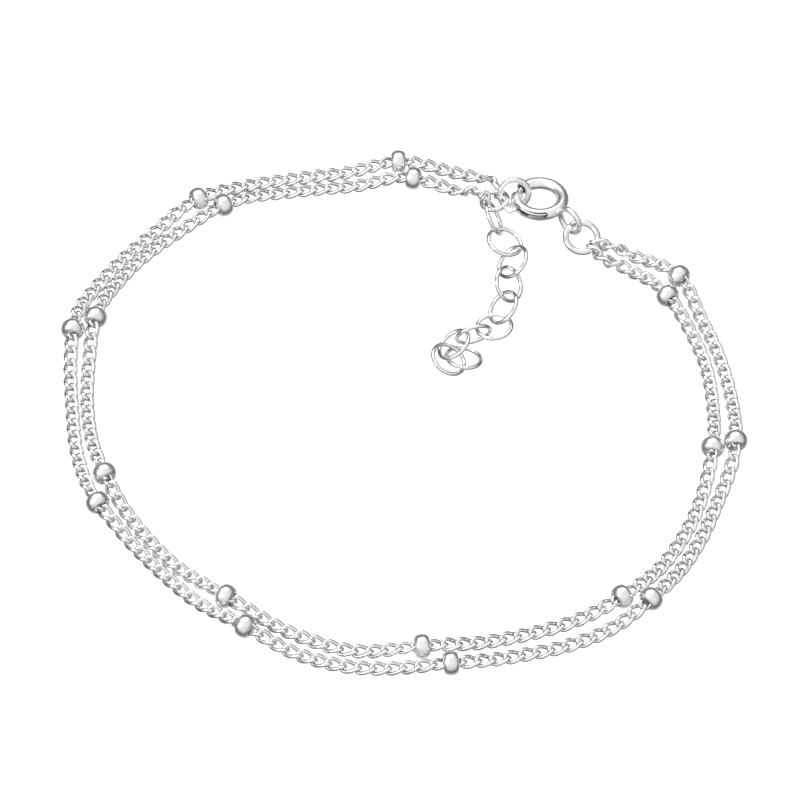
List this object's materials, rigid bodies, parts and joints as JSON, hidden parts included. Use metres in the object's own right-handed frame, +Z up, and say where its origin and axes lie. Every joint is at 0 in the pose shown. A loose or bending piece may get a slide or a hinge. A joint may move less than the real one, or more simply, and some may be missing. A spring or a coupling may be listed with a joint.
{
  "type": "link bracelet",
  "caption": "Two-strand fine curb-chain bracelet with plain rondelle beads, a spring-ring clasp and a short extension chain, lying fastened as an open loop.",
  "frame": {"origin": "middle of the loop's bounding box, on the surface it lies on", "axes": "+X to the right and +Y to the rear of the loop as pictured, the clasp at the rear right; +Z up from the surface"},
  "size_m": [0.0628, 0.0586, 0.0036],
  "materials": {
    "chain_silver": "polished silver curb chain",
    "bead_silver": "polished silver",
    "ring_silver": "polished silver wire",
    "clasp_silver": "polished silver"
  },
  "bodies": {
    "bracelet": {"strand_outer": "chain_silver", "strand_inner": "chain_silver", "bead_outer_1": "bead_silver", "bead_outer_2": "bead_silver", "bead_outer_3": "bead_silver", "bead_outer_4": "bead_silver", "bead_outer_5": "bead_silver", "bead_outer_6": "bead_silver", "bead_outer_7": "bead_silver", "bead_outer_8": "bead_silver", "bead_outer_9": "bead_silver", "bead_inner_1": "bead_silver", "bead_inner_2": "bead_silver", "bead_inner_3": "bead_silver", "bead_inner_4": "bead_silver", "bead_inner_5": "bead_silver", "bead_inner_6": "bead_silver", "bead_inner_7": "bead_silver", "bead_inner_8": "bead_silver", "bead_inner_9": "bead_silver", "end_ring": "ring_silver", "catch_ring": "ring_silver", "clasp_ring": "ring_silver", "extension_link_1": "ring_silver", "extension_link_2": "ring_silver", "extension_link_3": "ring_silver", "extension_link_4": "ring_silver", "extension_link_5": "ring_silver", "extension_link_6": "ring_silver", "extension_link_7": "ring_silver", "extension_link_8": "ring_silver", "extension_link_9": "ring_silver", "extension_link_10": "ring_silver", "clasp_body": "clasp_silver"},
    "bolt": {"clasp_bolt": "clasp_silver"}
  },
  "joints": [
    {"name": "bolt_pull", "type": "hinge", "parent": "bracelet", "child": "bolt", "pos_m": [0.013, 0.02345, 0.0015], "axis": [0, 0.1392, 0.9903], "range_deg": [0, 60], "stiffness_Nm_per_rad": 0.0005, "springref_deg": -17.19}
  ]
}
